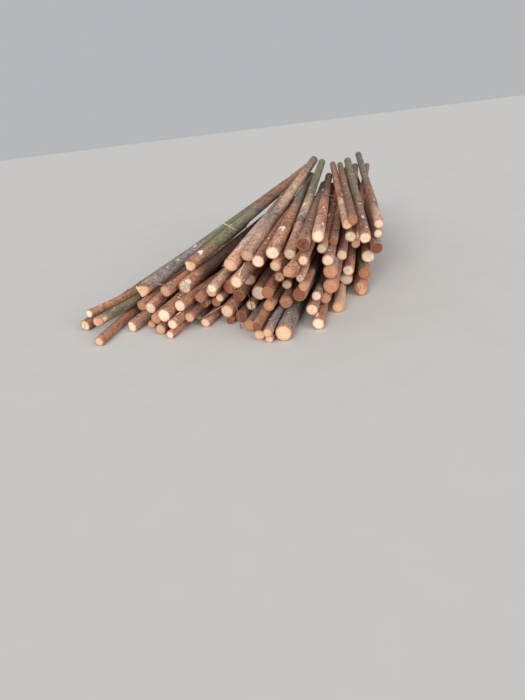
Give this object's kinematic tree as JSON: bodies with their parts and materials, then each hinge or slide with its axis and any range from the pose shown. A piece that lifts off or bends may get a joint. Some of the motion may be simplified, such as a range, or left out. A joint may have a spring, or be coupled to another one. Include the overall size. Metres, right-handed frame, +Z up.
{
  "type": "stack of logs",
  "caption": "Loose heap of thin pine logs of one length, butts fanned low and wide, tips bunched high and narrow behind.",
  "frame": {"origin": "centre of the bounding box's bottom face, on the ground", "axes": "+Z up, -Y the side the butts face, +X to the right as seen from that side"},
  "size_m": [3.1498, 3.823, 0.986],
  "materials": {
    "log_bark": "matt, flaky pine bark",
    "mossy_bark": "matt, bark with moss and lichen",
    "pink_bark": "matt, thin upper-trunk bark",
    "scarred_bark": "matt, bark with a bare wound",
    "tan_bark": "matt, thin upper-trunk bark",
    "ringed_bark": "matt, orange upper-trunk bark",
    "chipped_bark": "matt, brown bark that peels",
    "dark_bark": "matt, dark brown bark",
    "peeled_bark": "matt, tan with peeled wood",
    "brown_bark": "matt, brown bark with ring scars"
  },
  "bodies": {
    "root": {"ground_course_left": "log_bark", "ground_course_right": "log_bark", "second_course_left": "log_bark", "second_course_right": "log_bark", "third_course": "log_bark", "fourth_course": "log_bark", "fifth_course": "log_bark", "sixth_course": "log_bark", "long_mossy_log": "mossy_bark", "seventh_course": "log_bark", "pink_barked_log": "pink_bark", "scarred_log": "scarred_bark", "eighth_course": "log_bark", "tan_log": "tan_bark", "ringed_log": "ringed_bark", "chipped_log": "chipped_bark", "dark_barked_log": "dark_bark", "peeled_log": "peeled_bark", "thin_top_log": "chipped_bark", "right_edge_log": "brown_bark"}
  },
  "joints": []
}
